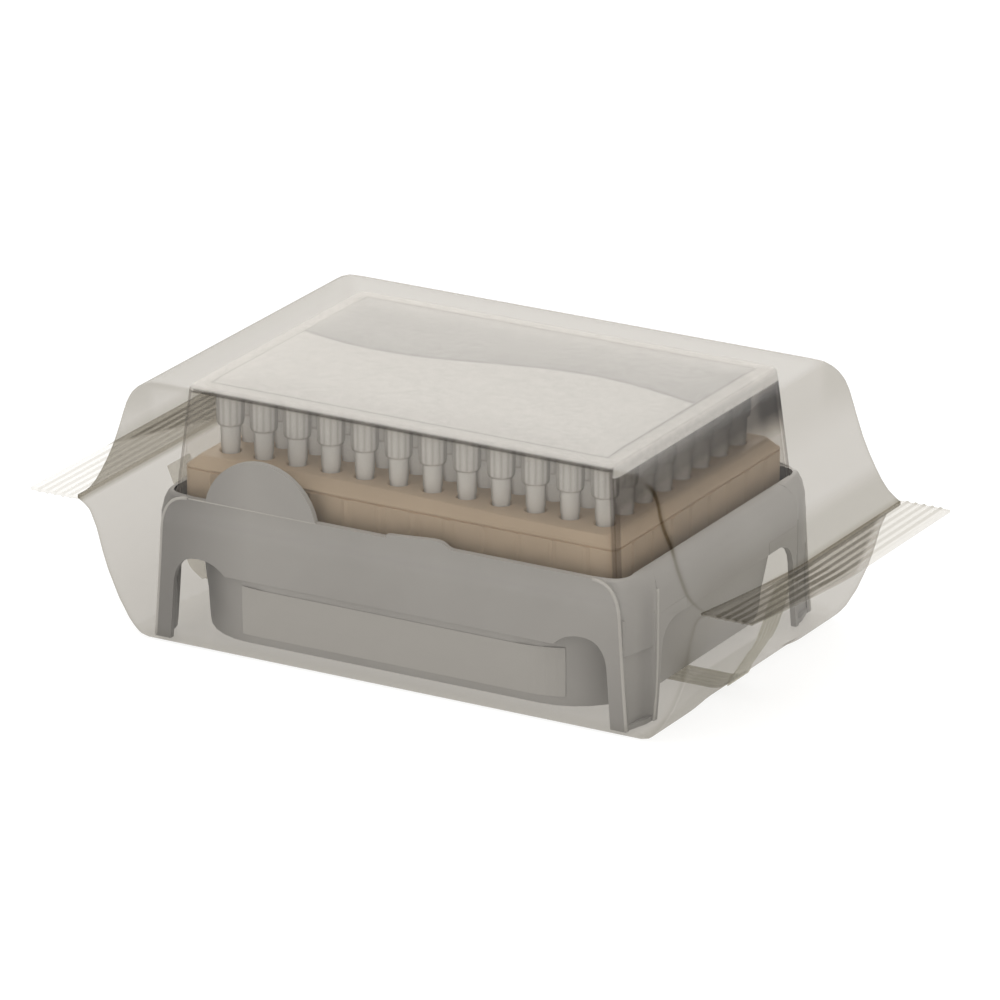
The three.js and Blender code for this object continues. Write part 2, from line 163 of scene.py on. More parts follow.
def make_piece(name, points, faces, material, replaces=(), marks=None, smooth=True):
    """A mesh object from points in metres and faces; marks are named values at its points."""
    mesh = bpy.data.meshes.new(name)
    mesh.from_pydata(np.asarray(points, dtype=float).tolist(), [], [list(map(int, f)) for f in faces])
    mesh.polygons.foreach_set("use_smooth", np.full(len(mesh.polygons), smooth))
    mesh.materials.append(material)
    for mark, values in (marks or {}).items():
        mesh.attributes.new(mark, "FLOAT", "POINT").data.foreach_set("value", np.ravel(values))
    piece = bpy.data.objects.new(name, mesh)
    bpy.context.collection.objects.link(piece)
    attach(piece, "root")
    if replaces:
        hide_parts(*replaces)
    print(f"{name}: {len(mesh.vertices)} points, {len(mesh.polygons)} faces")
    return piece


def capped_grid(grid, wrap=True):
    """Points and faces of a closed skin: grid[row, column] with a flat cap on each end row."""
    rows, columns, _ = grid.shape
    points = grid.reshape(-1, 3)
    faces = [list(f) for f in faces_of_grid(rows, columns, wrap)]
    faces.append(list(range(columns))[::-1])
    faces.append(list(range((rows - 1) * columns, rows * columns)))
    return points, faces


def rounded_rectangle(half_x, half_y, radius, count=160, bend=9):
    """Points round a rectangle with round corners: "bend" points on each corner, the rest even."""
    straight = count // 4 - bend
    points = []
    for quarter, (sx, sy) in enumerate(((1, 1), (-1, 1), (-1, -1), (1, -1))):
        centre = np.array([sx * (half_x - radius), sy * (half_y - radius)])
        angle = (quarter + np.linspace(0.0, 1.0, bend)) * 0.5 * math.pi
        arc = centre + radius * np.stack([np.cos(angle), np.sin(angle)], axis=-1)
        along = np.array([[-1, 0], [0, -1], [1, 0], [0, 1]])[quarter]
        length = 2 * ((half_x if quarter % 2 == 0 else half_y) - radius)
        steps = (np.arange(1, straight + 1) / (straight + 1) * length)[:, None]
        points += [arc, arc[-1] + steps * along]
    return np.concatenate(points)


def shell_of_levels(levels, count=160):
    """Rings of rounded rectangles (x, y, radius, z), stacked in the order given, in millimetres."""
    rings = [np.column_stack([rounded_rectangle(x, y, r, count), np.full(count, z)])
             for x, y, r, z in levels]
    return np.array(rings) / 1000.0


print("helpers ready; a test ring has", len(rounded_rectangle(10, 5, 2)), "points")

# %% [markdown]
# ## Plastics
# Moulded polypropylene is never one flat colour: it has a faint cloudiness, a fine spark-eroded grain
# and a soft sheen. Each plastic mixes two close tones with a slow noise and adds a fine bump. The grey
# one also carries painted shade: it is darker at its left end, towards its feet, on its right legs and
# in the channels at its corners, where less light reaches.

# %% moulded plastic
def colour_stops(tree, source, stops):
    """A colour ramp with the given (position, colour) stops, read at the source value."""
    ramp = tree.nodes.new("ShaderNodeValToRGB")
    elements = ramp.color_ramp.elements
    while len(elements) < len(stops):
        elements.new(0.5)
    for element, (position, colour) in zip(elements, stops):
        element.position = position
        element.color = (*colour, 1.0)
    tree.links.new(source, ramp.inputs["Fac"])
    return ramp.outputs["Color"]


def scaled(tree, colour, by):
    """The colour multiplied by a value."""
    node = tree.nodes.new("ShaderNodeVectorMath")
    node.operation = "SCALE"
    tree.links.new(colour, node.inputs[0])
    tree.links.new(by, node.inputs["Scale"])
    return node.outputs["Vector"]


def maths(tree, kind, *values):
    """One maths node; each value is a number or another node's output."""
    node = tree.nodes.new("ShaderNodeMath")
    node.operation = kind
    for socket, value in zip(node.inputs, values):
        if isinstance(value, (int, float)):
            socket.default_value = value
        else:
            tree.links.new(value, socket)
    return node.outputs["Value"]


def place_in_mm(tree):
    """The x, y and z of the point being shaded, in millimetres."""
    place = tree.nodes.new("ShaderNodeTexCoord")
    split = tree.nodes.new("ShaderNodeSeparateXYZ")
    tree.links.new(place.outputs["Object"], split.inputs["Vector"])
    return [maths(tree, "MULTIPLY", split.outputs[axis], 1000.0) for axis in "XYZ"]


def step_up(tree, value, low, high):
    """0 below low, 1 above high, straight in between."""
    share = maths(tree, "MULTIPLY_ADD", value, 1.0 / (high - low), -low / (high - low))
    return maths(tree, "MINIMUM", maths(tree, "MAXIMUM", share, 0.0), 1.0)


def noise_on_object(tree, scale, detail=3.0):
    """A noise value on Object coordinates, so that the pattern stays put on the piece."""
    place = tree.nodes.new("ShaderNodeTexCoord")
    noise = tree.nodes.new("ShaderNodeTexNoise")
    noise.inputs["Scale"].default_value = scale
    noise.inputs["Detail"].default_value = detail
    tree.links.new(place.outputs["Object"], noise.inputs["Vector"])
    return noise.outputs["Fac"]


def fine_grain(tree, shader, scale, strength, depth=0.00004):
    """A bump from fine noise, wired into the shader's normal."""
    bump = tree.nodes.new("ShaderNodeBump")
    bump.inputs["Strength"].default_value = strength
    bump.inputs["Distance"].default_value = depth
    tree.links.new(noise_on_object(tree, scale, 2.0), bump.inputs["Height"])
    tree.links.new(bump.outputs["Normal"], shader.inputs["Normal"])


def moulded_plastic(name, dark, light, roughness):
    """Satin plastic: cloudy colour between two tones, fine grain, a soft highlight."""
    material, shader = plain_material(name, light, roughness, 0.35)
    tree = material.node_tree
    colour = colour_stops(tree, noise_on_object(tree, 35.0), [(0.35, dark), (0.65, light)])
    tree.links.new(colour, shader.inputs["Base Color"])
    fine_grain(tree, shader, 1800.0, 0.25)
    return material


def paint_shade(material, shares):
    """Painted shade: multiply a plastic's colour by 1 - each share: (value, amount), value from 0 to 1."""
    tree = material.node_tree
    socket = tree.nodes["Principled BSDF"].inputs["Base Color"]
    colour = socket.links[0].from_socket
    kept = 1.0
    for value, amount in shares:
        kept = maths(tree, "MULTIPLY", maths(tree, "MULTIPLY_ADD", value, -amount, 1.0), kept)
    tree.links.new(scaled(tree, colour, kept), socket)


base_finish = moulded_plastic("grey_moulding", (0.468, 0.460, 0.450), (0.504, 0.496, 0.486), 0.48)
grey = base_finish.node_tree
base_x, base_y, base_z = place_in_mm(grey)
off_middle = maths(grey, "ABSOLUTE", base_y)
near_foot = step_up(grey, base_z, 26.0, 1.0)
far_left = step_up(grey, base_x, -38.0, -58.0)
in_leg = maths(grey, "MULTIPLY", near_foot, step_up(grey, off_middle, 30.0, 34.0))
in_right_leg = maths(grey, "MULTIPLY", in_leg, step_up(grey, base_x, 50.0, 58.0))
along_box = maths(grey, "ABSOLUTE", maths(grey, "SUBTRACT", base_x, box_x))
channel_sides = maths(grey, "MULTIPLY", step_up(grey, off_middle, 40.5, 37.0),
                      step_up(grey, off_middle, 34.5, 35.3))
channel_height = maths(grey, "MULTIPLY", channel_sides, step_up(grey, base_z, 34.0, 28.0))
in_channel = maths(grey, "MULTIPLY", step_up(grey, along_box, 61.6, 62.3), channel_height)
# painted shade: darker in the corner channels, towards the feet, at the left end and on the right legs
paint_shade(base_finish, [(in_channel, 0.14), (near_foot, 0.05), (far_left, 0.34), (in_right_leg, 0.15)])
rack_finish = moulded_plastic("tan_moulding", (0.67, 0.545, 0.415), (0.73, 0.595, 0.455), 0.5)
print("plastics:", base_finish.name, rack_finish.name)

# %% [markdown]
# ## Base
# An open tub inside four outer panels on corner legs, with a half-round tab on the front rim. The
# solid already has that shape, so the piece is a copy of it: its loose triangles are merged, flat
# neighbours become one face, and a small bevel rounds every edge, as a mould's edges are.

# %% base
def softened_copy(node, name, material, width):
    """A merged copy of a solid, with a bevel of the given width along its sharp edges."""
    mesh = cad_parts[node].data.copy()
    mesh.name = name
    shape = bmesh.new()
    shape.from_mesh(mesh)
    bmesh.ops.remove_doubles(shape, verts=shape.verts, dist=0.00002)
    bmesh.ops.dissolve_limit(shape, angle_limit=math.radians(1.0), verts=shape.verts, edges=shape.edges)
    shape.to_mesh(mesh)
    shape.free()
    mesh.materials.clear()
    mesh.materials.append(material)
    mesh.polygons.foreach_set("use_smooth", np.ones(len(mesh.polygons), dtype=bool))
    mesh.set_sharp_from_angle(angle=math.radians(38))
    piece = bpy.data.objects.new(name, mesh)
    bpy.context.collection.objects.link(piece)
    bevel = piece.modifiers.new("round_edges", "BEVEL")
    bevel.width, bevel.segments, bevel.limit_method = width, 2, "ANGLE"
    bevel.angle_limit = math.radians(38)
    bevel.harden_normals = False
    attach(piece, "root")
    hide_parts(node)
    print(f"{name}: {len(mesh.vertices)} points, {len(mesh.polygons)} faces")


softened_copy("base", "base_shell", base_finish, 0.00035)

# %% [markdown]
# Between a front or back panel and an end panel each corner is closed by a shallow channel. It is
# skinned through seven control points per level: a wide corner at the rim, a hollow web lower down,
# and a ledge where the web steps back. A quadratic B-spline rounds every level.

# %% base corners
# Each level: its height, then the x and the y of its control points.
corner_levels = [
    (0.7, (62.0, 62.1, 62.2, 62.5, 62.9, 63.7, 64.4), (44.4, 43.0, 41.0, 38.4, 36.8, 35.4, 34.8)),
    (10.0, (61.2, 61.5, 61.8, 62.2, 62.7, 63.6, 64.4), (44.4, 43.0, 41.0, 38.4, 36.7, 35.2, 34.2)),
    (18.2, (60.9, 61.4, 61.8, 62.2, 62.8, 63.6, 64.4), (44.4, 43.0, 41.0, 38.3, 36.4, 34.8, 33.6)),
    (18.6, (60.9, 61.9, 62.5, 63.0, 63.5, 64.0, 64.4), (44.4, 43.3, 41.2, 38.6, 36.6, 34.9, 33.5)),
    (26.0, (60.4, 61.6, 62.5, 63.1, 63.6, 64.1, 64.4), (44.3, 43.4, 41.2, 38.5, 36.2, 34.5, 33.2)),
    (31.0, (57.0, 60.8, 62.4, 63.1, 63.6, 64.1, 64.4), (44.2, 43.9, 41.6, 38.4, 36.0, 34.4, 33.0)),
    (34.0, (55.0, 60.2, 61.8, 62.4, 62.9, 63.3, 63.6), (44.0, 43.6, 41.2, 38.2, 35.8, 34.2, 32.5)),
    (35.7, (54.0, 59.2, 61.0, 61.5, 61.8, 62.0, 62.3), (43.8, 43.3, 41.0, 38.0, 35.4, 33.6, 31.8)),
    (36.15, (53.4, 58.5, 60.3, 60.7, 60.9, 61.1, 61.3), (43.2, 42.7, 40.6, 37.8, 35.2, 33.4, 31.4)),
]
corner_signs = {"right_front": (1, -1), "right_back": (1, 1), "left_front": (-1, -1), "left_back": (-1, 1)}


def b_spline(control, steps=5):
    """Quadratic B-spline: each span is (1-t)^2/2 a + (1/2 + t - t^2) b + t^2/2 c, ends held."""
    held = np.concatenate([control[:1], control, control[-1:]])
    t = np.linspace(0.0, 1.0, steps, endpoint=False)[:, None]
    spans = [0.5 * (1 - t) ** 2 * a + (0.5 + t - t * t) * b + 0.5 * t * t * c
             for a, b, c in zip(held, held[1:], held[2:])]
    return np.concatenate(spans + [control[-1:]])


def base_corner(sign_x, sign_y):
    """Rows follow the levels upwards; each row is the outer curve, then the same curve moved inwards."""
    rows = []
    for z, control_x, control_y in corner_levels:
        outer = b_spline(np.column_stack([control_x, control_y]))
        inner = (outer - [0.45, 0.35])[::-1]
        ring = np.concatenate([outer, inner]) * [sign_x, sign_y] + [box_x, 0]
        rows.append(np.column_stack([ring, np.full(len(ring), z)]))
    grid = np.array(rows) / 1000.0
    return grid if sign_x * sign_y > 0 else grid[:, ::-1]


for name, (sign_x, sign_y) in corner_signs.items():
    points, faces = capped_grid(base_corner(sign_x, sign_y))
    corner = make_piece(f"corner_{name}", points, faces, base_finish)
    corner.data.set_sharp_from_angle(angle=math.radians(40))

# %% [markdown]
# Every panel ends in a thin round bead, given a paler grey than the panels as a painted highlight. A
# bead is a small circle carried along the panel's edge: down the side of each long panel, and down the
# front of each end panel. A finer one, pale in the same way, runs along the left part of the front rim.

# %% panel beads
# paler than the grey moulding: a painted highlight along the beads and the rim line
bead_highlight_finish = moulded_plastic("bead_highlight_moulding", (0.60, 0.59, 0.57), (0.65, 0.64, 0.62), 0.45)


def bead_along(path, radius):
    """A tube round a path: two axes across the path's direction carry a circle of eight points."""
    along = np.gradient(path, axis=0)
    along /= np.linalg.norm(along, axis=1)[:, None]
    side = np.cross(along, [0.31, 0.43, 0.85])
    side /= np.linalg.norm(side, axis=1)[:, None]
    other = np.cross(along, side)
    turn = np.arange(8) / 8 * 2 * math.pi
    return (path[:, None] + radius * (np.cos(turn)[None, :, None] * side[:, None]
                                      + np.sin(turn)[None, :, None] * other[:, None])) / 1000.0


def quadratic(start, pull, end, count=9):
    """Points (1-t)^2 start + 2t(1-t) pull + t^2 end."""
    t = np.linspace(0.0, 1.0, count)[:, None]
    return (1 - t) ** 2 * np.array(start) + 2 * t * (1 - t) * np.array(pull) + t * t * np.array(end)


wing_edge = np.concatenate([quadratic((62.4, 0.9), (61.3, 14.0), (60.5, 27.2)),
                            quadratic((60.5, 27.2), (60.0, 36.0), (53.5, 36.0))[1:]])
end_edge = np.concatenate([quadratic((35.0, 0.9), (33.3, 9.0), (33.4, 23.0)),
                           quadratic((33.4, 23.0), (33.4, 28.0), (33.4, 32.0))[1:]])
for number, (sign_x, sign_y) in enumerate(corner_signs.values(), 1):
    wing_path = np.column_stack([wing_edge[:, 0] * sign_x + box_x, np.full(len(wing_edge), 44.5 * sign_y),
                                 wing_edge[:, 1]])
    end_path = np.column_stack([np.full(len(end_edge), 64.25 * sign_x + box_x), end_edge[:, 0] * sign_y,
                                end_edge[:, 1]])
    for kind, path in (("panel", wing_path), ("end", end_path)):
        if kind == "panel" or sign_y < 0:
            points, faces = capped_grid(bead_along(path, 0.38))
            make_piece(f"{kind}_bead_{number}", points, faces, bead_highlight_finish)
rim_x = np.linspace(-53.0, -18.5, 12) + box_x
rim_path = np.column_stack([rim_x, np.full(12, -44.68), np.full(12, 36.1)])
points, faces = capped_grid(bead_along(rim_path, 0.14))
make_piece("rim_line", points, faces, bead_highlight_finish)

# %% [markdown]
# ## Tips
# Each tip is a thin open cone with a collar that has twelve upright grooves. It is a closed profile
# carried round the tip's axis: up the outside, over the rim, and down the bore. A row of tips is
# placed by adding the rack's 9 mm grid of centres to one tip's points.

# %% tip profile
tip_top = 60.4
tip_profile = np.array([
    (0.50, 6.0), (1.05, 22.0), (1.60, 36.0), (2.10, 45.2), (2.28, 45.6), (2.38, 50.7), (2.30, 51.1),
    (3.00, 51.3), (3.22, 51.9), (3.27, 55.0), (3.27, 59.6), (3.10, 60.4), (2.62, 60.4), (2.45, 59.0),
    (2.10, 51.3), (0.22, 6.0)])
ribbed_part = (tip_profile[:, 1] > 51.8) & (tip_profile[:, 1] < 60) & (tip_profile[:, 0] > 3)
around, groove_depth, rib_height = 36, -0.14, 0.03
column_x = (np.arange(12) - 5.5) * 9.0 + box_x
row_y = (3.5 - np.arange(8)) * 9.0


def tips_at(centres):
    """Points, faces and groove marks of tips: point = centre + r(v) (cos u, sin u), z(v)."""
    turn = np.arange(around) / around * 2 * math.pi
    ring = np.stack([np.cos(turn), np.sin(turn)], axis=-1)
    one = np.empty((len(tip_profile), around, 3))
    rib = np.where(np.arange(around) % 3 == 0, groove_depth, rib_height)
    radius = tip_profile[:, :1] + ribbed_part[:, None] * rib[None]
    one[..., :2] = radius[..., None] * ring[None]
    one[..., 2] = tip_profile[:, None, 1]
    loop = np.concatenate([one, one[:1]])
    faces = faces_of_grid(len(loop), around, True) % (len(tip_profile) * around)
    flat = one.reshape(-1, 3)
    points = flat[None] + np.column_stack([centres, np.zeros(len(centres))])[:, None]
    shift = (np.arange(len(centres)) * len(flat))[:, None, None]
    groove = np.tile((ribbed_part[:, None] & (rib[None] < 0)).astype(float).ravel(), len(centres))
    return points.reshape(-1, 3) / 1000.0, (faces[None] + shift).reshape(-1, 4), groove


def grid_centres(rows):
    """Centres of the tips in the given rows, in millimetres."""
    x, y = np.meshgrid(column_x, row_y[rows], indexing="xy")
    return np.column_stack([x.ravel(), y.ravel()])


# %% [markdown]
# Tips are clear polypropylene, slightly milky. Light passes through them and spreads, so the shader
# mixes a see-through part with a pale diffuse one, of which a share lets light through to the far
# side, and a faint glow, which is painted light, stands for the light that runs inside the walls.
# Towards a tip's edges, where the wall is seen at a slant, and in the grooves the colour is darker: painted
# shade.

# %% tip plastic
def see_through(name, tint, haze, roughness, thin, thick, glow=0.0):
    """Clear plastic: a tinted see-through part, hazier towards grazing angles, with a gloss; "glow"
    is the share of the haze that lets light through from behind."""
    material, shader = plain_material(name, haze, roughness, 0.5)
    tree = material.node_tree
    soft = tree.nodes.new("ShaderNodeBsdfTranslucent")
    soft.inputs["Color"].default_value = (*haze, 1.0)
    milky = tree.nodes.new("ShaderNodeMixShader")
    milky.inputs["Fac"].default_value = glow
    tree.links.new(shader.outputs["BSDF"], milky.inputs[1])
    tree.links.new(soft.outputs["BSDF"], milky.inputs[2])
    facing = tree.nodes.new("ShaderNodeLayerWeight")
    facing.inputs["Blend"].default_value = 0.5
    amount = tree.nodes.new("ShaderNodeMapRange")
    amount.inputs["To Min"].default_value = thin
    amount.inputs["To Max"].default_value = thick
    clear = tree.nodes.new("ShaderNodeBsdfTransparent")
    clear.inputs["Color"].default_value = (*tint, 1.0)
    mix = tree.nodes.new("ShaderNodeMixShader")
    tree.links.new(facing.outputs["Facing"], amount.inputs["Value"])
    tree.links.new(amount.outputs["Result"], mix.inputs["Fac"])
    tree.links.new(clear.outputs["BSDF"], mix.inputs[1])
    tree.links.new(milky.outputs["Shader"], mix.inputs[2])
    tree.links.new(mix.outputs["Shader"], tree.nodes["Material Output"].inputs["Surface"])
    return material, {"shader": shader, "amount": amount, "clear": clear, "mix": mix, "facing": facing}


def tint_by_mark(material, parts, mark, tints, hazes):
    """Set the see-through tint and the haze colour from stops along the named mark on the mesh."""
    tree = material.node_tree
    value = tree.nodes.new("ShaderNodeAttribute")
    value.attribute_name = mark
    tree.links.new(colour_stops(tree, value.outputs["Fac"], tints), parts["clear"].inputs["Color"])
    tree.links.new(colour_stops(tree, value.outputs["Fac"], hazes), parts["shader"].inputs["Base Color"])


tip_finish, tip_parts = see_through("tip_plastic", (0.95, 0.95, 0.94), (0.96, 0.95, 0.93), 0.3, 0.8, 0.95,
                                    glow=0.12)
tip_tree, tip_shader = tip_finish.node_tree, tip_parts["shader"]
# painted shade: the tone darkens towards a tip's edges, where the wall is seen at a slant
tip_tone = colour_stops(tip_tree, tip_parts["facing"].outputs["Facing"],
                        [(0.10, (0.93, 0.93, 0.93)), (0.32, (0.84, 0.84, 0.84)),
                         (0.55, (0.57, 0.565, 0.56)), (0.88, (0.25, 0.246, 0.24))])
groove_mark = tip_tree.nodes.new("ShaderNodeAttribute")
groove_mark.attribute_name = "groove"
# painted shade in the grooves
groove_shade = maths(tip_tree, "MULTIPLY_ADD", groove_mark.outputs["Fac"], -0.26, 1.0)
tip_tree.links.new(scaled(tip_tree, tip_tone, groove_shade), tip_shader.inputs["Base Color"])
tip_tree.links.new(tip_tone, tip_shader.inputs["Emission Color"])
# painted light: a faint glow in the tips' own tone
tip_shader.inputs["Emission Strength"].default_value = 0.12
fine_grain(tip_tree, tip_shader, 900.0, 0.2)

# %% tips
front_nodes = [f"tip_{row}{column:02d}" for row in "EFGH" for column in range(1, 13)]
points, faces, groove = tips_at(grid_centres([4, 5, 6, 7]))
make_piece("front_tips", points, faces, tip_finish, front_nodes, marks={"groove": groove})
points, faces, groove = tips_at(grid_centres([0, 1, 2, 3]))
make_piece("back_tips", points, faces, tip_finish, ["rack"], marks={"groove": groove})

# %% [markdown]
# ## Rack
# A flat drilled plate with a sloping shoulder and a ribbed skirt. The plate is one patch per tip: a
# square with a round hole, made by sliding 24 points from the square's edge in to the circle. The
# shoulder and skirt are rings: the inner one is the plate's edge, a slow wave along the long sides.

# %% rack plate
plate_top, plate_under, hole_radius = 44.6, 43.1, 2.45
spokes = 24


def square_ring(half_side):
    """Points on a square at evenly spread angles, corners included."""
    angle = (np.arange(spokes) / spokes + 1 / 8) * 2 * math.pi
    ray = np.stack([np.cos(angle), np.sin(angle)], axis=-1)
    return ray * (half_side / np.abs(ray).max(axis=1))[:, None]


def drilled_patches():
    """Each patch: top square, top circle, bottom circle, bottom square, all at one tip's centre."""
    square = square_ring(4.5)
    circle = square / np.linalg.norm(square, axis=1)[:, None]
    rings = [(square, plate_top), (circle * (hole_radius + 0.3), plate_top),
             (circle * hole_radius, plate_top - 0.25), (circle * hole_radius, plate_under),
             (square, plate_under)]
    one = np.array([np.column_stack([ring, np.full(spokes, z)]) for ring, z in rings])
    faces = faces_of_grid(len(rings), spokes, True)
    centres = grid_centres(list(range(8)))
    points = one.reshape(-1, 3)[None] + np.column_stack([centres, np.zeros(96)])[:, None]
    shift = (np.arange(96) * one.shape[0] * spokes)[:, None, None]
    return points.reshape(-1, 3) / 1000.0, (faces[None] + shift).reshape(-1, 4)


points, faces = drilled_patches()
make_piece("rack_plate", points, faces, rack_finish, smooth=False)


# %% rack shoulder and skirt
skirt_x, skirt_y, skirt_bend = 57.1, 40.0, 1.8


def edge_wave(ring):
    """Move the long sides in and out: y + sign(y) (0.5 + 0.9 sin(2 pi (x - 12) / 120))."""
    moved = ring.copy()
    moved[:, 1] += np.sign(ring[:, 1]) * (0.5 + 0.9 * np.sin(2 * math.pi * (ring[:, 0] - 12.0) / 120.0))
    return moved


def rack_rings(count=480):
    """Rings from the plate's inner edge out to the shoulder, down the ribbed skirt and up inside."""
    plate = np.column_stack([rounded_rectangle(54, 36, 0.05, count), np.full(count, plate_top)])
    rings = [plate]
    for grow, z in ((0.0, 44.6), (0.5, 44.45)):
        rings.append(np.column_stack([edge_wave(rounded_rectangle(54.02 + grow, 36.7 + grow, 1.8, count)),
                                      np.full(count, z)]))
    for x, y, r, z in ((56.7, 39.6, skirt_bend, 42.6), (skirt_x, skirt_y, skirt_bend, 42.25),
                       (skirt_x, skirt_y, skirt_bend, 42.0), (56.75, 39.65, 1.6, 41.85),
                       (56.75, 39.65, 1.6, 41.7), (skirt_x, skirt_y, skirt_bend, 41.55)):
        rings.append(np.column_stack([rounded_rectangle(x, y, r, count), np.full(count, z)]))
    skirt = rounded_rectangle(skirt_x, skirt_y, skirt_bend, count)
    ribbed = rounded_rectangle(skirt_x + 0.4, skirt_y + 0.4, skirt_bend, count)
    along = np.where(np.abs(skirt[:, 0]) > 56.3, skirt[:, 1], skirt[:, 0])
    on_rib = (np.abs((along / 9.0) % 1.0 - 0.5) < 0.075)[:, None]
    for z in (41.5, 32.5):
        rings.append(np.column_stack([np.where(on_rib, ribbed, skirt), np.full(count, z)]))
    for x, y, r, z in ((skirt_x, skirt_y, skirt_bend, 31.0), (55.8, 38.7, 1.6, 31.0),
                       (55.8, 38.7, 1.6, 42.0)):
        rings.append(np.column_stack([rounded_rectangle(x, y, r, count), np.full(count, z)]))
    rings.append(np.column_stack([rounded_rectangle(54, 36, 0.05, count), np.full(count, plate_under)]))
    return (np.array(rings) + [box_x, 0, 0]) / 1000.0


rings = rack_rings()
make_piece("rack_edge", rings.reshape(-1, 3), faces_of_grid(len(rings), rings.shape[1], True)[:, ::-1],
           rack_finish, smooth=False)

# %% [markdown]
# ## Lid
# A thin clear hood: its walls lean in a little, its top edge is round, and its underside is open. It
# is one skin that runs from the middle of the top, out and down the outside, round the bottom edge,
# and up the inside to the middle again.

# %% lid shell
foot_x, foot_y, lean_x, lean_y = 59.4, 42.4, 2.8, 2.7
lid_bottom, lid_rise, lid_corner, lid_wall = 31.0, 29.5, 2.4, 0.8


def lid_levels(inset):
    """Side and rounded top edge of the lid, from the bottom up, moved in by the wall."""
    side = [(foot_x - lean_x * up, foot_y - lean_y * up, lid_corner, lid_bottom + lid_rise * up)
            for up in (0.0, 0.024, 0.25, 0.5, 0.51, 0.74, 0.90, 0.975, 0.985, 1.0)]
    bend = [(56.6 - 1.4 * (1 - math.cos(a)), 39.7 - 1.4 * (1 - math.cos(a)),
             lid_corner - 1.4 * (1 - math.cos(a)), 60.5 + 1.4 * math.sin(a))
            for a in np.linspace(0.2, 0.5 * math.pi, 6)]
    top = [(51.5 + 1.2, 33.8, 3.0, 61.9), (51.5, 32.6, 3.0, 62.3), (40.0, 22.0, 3.0, 62.3),
           (20.0, 6.0, 2.0, 62.3), (14.2, 0.1, 0.05, 62.3)]
    return [(x - inset, max(y - inset, 0.05), max(r - inset, 0.04), z - (inset if z > 31.5 else 0.0))
            for x, y, r, z in side + bend + top]


outside, inside = lid_levels(0.0), lid_levels(lid_wall)
lid_grid = shell_of_levels(inside[::-1] + outside, 240) + [box_x / 1000.0, 0, 0]
lid_points, lid_faces = capped_grid(lid_grid)
lid_finish, lid_parts = see_through("lid_plastic", (0.96, 0.955, 0.945), (0.66, 0.65, 0.63), 0.5,
                                    0.02, 0.12, glow=0.12)


def frost_the_top(material, parts):
    """The top is etched: y = 6.75 + 4.5 sin(2 pi (x + 3.5) / 104) parts the paler front from the back.
    The frost also turns down over the right edge; the wall below it stays clearer than the others."""
    tree = material.node_tree
    x, y, z = place_in_mm(tree)
    x = maths(tree, "ADD", x, -float(box_x))
    turn = maths(tree, "MULTIPLY_ADD", x, 2 * math.pi / 104.0, 2 * math.pi * 3.5 / 104.0)
    wave = maths(tree, "MULTIPLY_ADD", maths(tree, "SINE", turn), 4.5, 6.75)
    ahead = maths(tree, "MULTIPLY_ADD", maths(tree, "SUBTRACT", wave, y), 0.05, 0.5)
    panel = colour_stops(tree, ahead, [(0.0, (0.70, 0.695, 0.685)), (0.46, (0.64, 0.635, 0.625)),
                                       (0.475, (0.44, 0.435, 0.43)), (0.49, (0.72, 0.715, 0.70)),
                                       (0.51, (0.50, 0.495, 0.49)), (0.525, (0.87, 0.865, 0.85))])
    to_edge = maths(tree, "MINIMUM", maths(tree, "SUBTRACT", 56.6, maths(tree, "ABSOLUTE", x)),
                    maths(tree, "SUBTRACT", 39.7, maths(tree, "ABSOLUTE", y)))
    rim = colour_stops(tree, maths(tree, "MULTIPLY", to_edge, 0.1),
                       [(0.0, (0.90, 0.89, 0.87)), (0.12, (0.88, 0.87, 0.85)), (0.40, (0.82, 0.81, 0.79)),
                        (0.45, (0.50, 0.495, 0.485)), (0.49, (0.80, 0.79, 0.77))])
    inner = step_up(tree, to_edge, 4.7, 4.9)
    mottle = noise_on_object(tree, 650.0, 4.0)
    speckle = maths(tree, "MULTIPLY_ADD", x, -0.0007, maths(tree, "MULTIPLY_ADD", mottle, 0.40, 0.80))
    tone = tree.nodes.new("ShaderNodeMix")
    tone.data_type = "RGBA"
    tree.links.new(inner, tone.inputs["Factor"])
    tree.links.new(rim, tone.inputs["A"])
    tree.links.new(panel, tone.inputs["B"])
    tree.links.new(scaled(tree, tone.outputs["Result"], speckle), parts["shader"].inputs["Base Color"])
    at_right = step_up(tree, x, 55.5, 56.0)
    on_top = step_up(tree, z, 60.8, 61.5)
    on_side = maths(tree, "MULTIPLY", step_up(tree, z, 58.7, 59.1), at_right)
    frosted = maths(tree, "MAXIMUM", maths(tree, "MULTIPLY", on_top, 0.73),
                    maths(tree, "MULTIPLY", on_side, 0.88))
    right_wall = maths(tree, "MULTIPLY", at_right, step_up(tree, z, 60.4, 60.0))
    veil = maths(tree, "MULTIPLY", parts["amount"].outputs["Result"],
                 maths(tree, "MULTIPLY_ADD", right_wall, -0.55, 1.0))
    tree.links.new(maths(tree, "MAXIMUM", frosted, veil), parts["mix"].inputs["Fac"])


def lid_marks(grid):
    """Dark where the clear wall turns, at the upright corners and the top edge. The upper part of the
    right wall carries painted shade, darkest at its far end, which darkens the tips seen through it."""
    x, y, z = grid[..., 0] * 1000 - box_x, grid[..., 1] * 1000, grid[..., 2] * 1000
    up = (z - lid_bottom) / lid_rise
    beside_x = foot_x - lean_x * up - np.abs(x)
    beside_y = foot_y - lean_y * up - np.abs(y)
    marks = 0.5 * ((beside_x < 1.5) & (beside_y < 1.5) & (z < 60.9))
    marks = np.maximum(marks, 0.75 * (np.abs(z - 60.5) < 0.25))
    # painted shade over the right wall: slight below, strong over its upper part and its far end
    marks = np.maximum(marks, 0.08 * ((x > 56) & (z < 60.2)))
    shade = 0.50 + 0.22 * np.clip((y + 10) / 40, 0, 1)
    marks = np.maximum(marks, shade * ((x > 56) & (z > 50) & (z < 60.2)))
    return np.maximum(marks, 0.9 * ((x > 55) & (y > 28) & (z > 50) & (z < 58.6)))
